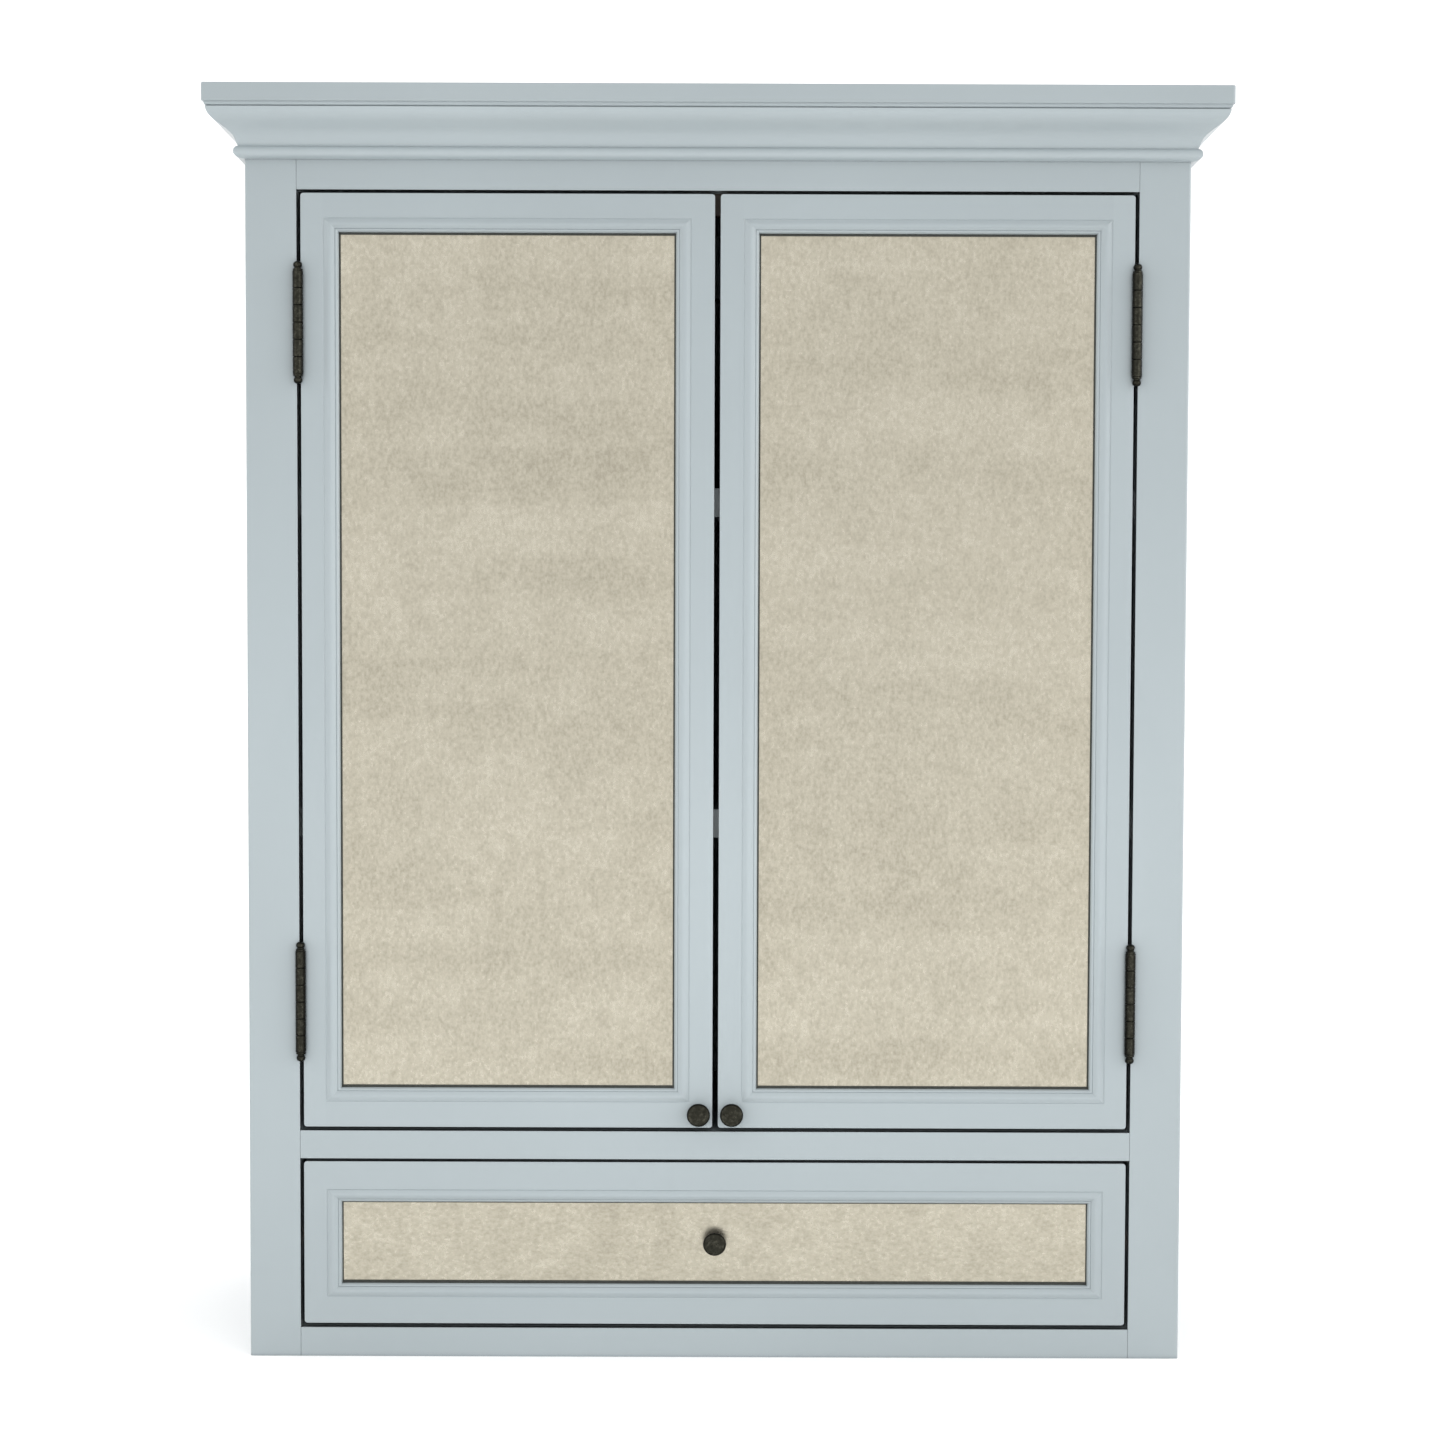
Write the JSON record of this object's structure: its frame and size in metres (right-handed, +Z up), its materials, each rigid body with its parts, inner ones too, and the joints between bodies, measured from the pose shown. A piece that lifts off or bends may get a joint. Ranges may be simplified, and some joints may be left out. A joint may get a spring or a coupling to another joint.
{
  "type": "armoire",
  "caption": "Painted armoire with a moulded crown, a pair of inset mirrored doors on butt hinges, an inset mirrored drawer below, shelves inside and turned knobs.",
  "frame": {"origin": "centre of the footprint on the base plane", "axes": "+Z up, the front faces -Y, +X to the right of a person facing the front"},
  "size_m": [0.8632, 0.4116, 1.0812],
  "materials": {
    "paint": "satin pale blue-grey paint",
    "antique_mirror": "mottled champagne antique mirror",
    "glazing_strip": "dark matt glazing strip",
    "dark_hardware": "burnished dark pewter",
    "zinc_hardware": "zinc-plated steel",
    "hardboard": "brown hardboard",
    "back_board": "painted back board",
    "bare_wood": "clear-lacquered birch and poplar",
    "catch_plastic": "moulded off-white plastic"
  },
  "bodies": {
    "carcass": {"back_panel": "back_board", "base_panel": "paint", "ceiling_panel": "paint", "crown_front": "paint", "crown_left": "paint", "crown_right": "paint", "deck_panel": "paint", "fixing_rail": "paint", "frame_hinge_leaves": "dark_hardware", "frame_hinge_screws": "dark_hardware", "frame_rail_bottom": "paint", "frame_rail_middle": "paint", "frame_rail_top": "paint", "frame_stile_left": "paint", "frame_stile_right": "paint", "guide_block_left": "paint", "guide_block_right": "paint", "hinge_pins": "dark_hardware", "magnetic_catch": "catch_plastic", "runner_left": "bare_wood", "runner_right": "bare_wood", "shelf_lower": "paint", "shelf_pins": "zinc_hardware", "shelf_upper": "paint", "side_panel_left": "paint", "side_panel_right": "paint", "top_board": "paint"},
    "door_left": {"door_left_backer": "hardboard", "door_left_fixings": "zinc_hardware", "door_left_glazing": "glazing_strip", "door_left_hinge_leaves": "dark_hardware", "door_left_knob": "dark_hardware", "door_left_mirror": "antique_mirror", "door_left_moulding": "paint", "door_left_rail_bottom": "paint", "door_left_rail_top": "paint", "door_left_stile_hinge": "paint", "door_left_stile_meeting": "paint", "door_left_strike": "zinc_hardware"},
    "door_right": {"door_right_backer": "hardboard", "door_right_fixings": "zinc_hardware", "door_right_glazing": "glazing_strip", "door_right_hinge_leaves": "dark_hardware", "door_right_knob": "dark_hardware", "door_right_mirror": "antique_mirror", "door_right_moulding": "paint", "door_right_rail_bottom": "paint", "door_right_rail_top": "paint", "door_right_stile_hinge": "paint", "door_right_stile_meeting": "paint", "door_right_strike": "zinc_hardware"},
    "drawer": {"drawer_back": "bare_wood", "drawer_bottom": "bare_wood", "drawer_front": "paint", "drawer_glazing": "glazing_strip", "drawer_knob": "dark_hardware", "drawer_mirror": "antique_mirror", "drawer_moulding": "paint", "drawer_side_left": "bare_wood", "drawer_side_right": "bare_wood"}
  },
  "joints": [
    {"name": "door_left_swing", "type": "hinge", "parent": "carcass", "child": "door_left", "pos_m": [-0.3548, -0.1788, 0.597], "axis": [0, 0, -1], "range_deg": [0, 180]},
    {"name": "door_right_swing", "type": "hinge", "parent": "carcass", "child": "door_right", "pos_m": [0.3548, -0.1788, 0.597], "axis": [0, 0, 1], "range_deg": [0, 180]},
    {"name": "drawer_slide", "type": "slide", "parent": "carcass", "child": "drawer", "axis": [0, -1, 0], "range_m": [0, 0.28]}
  ]
}
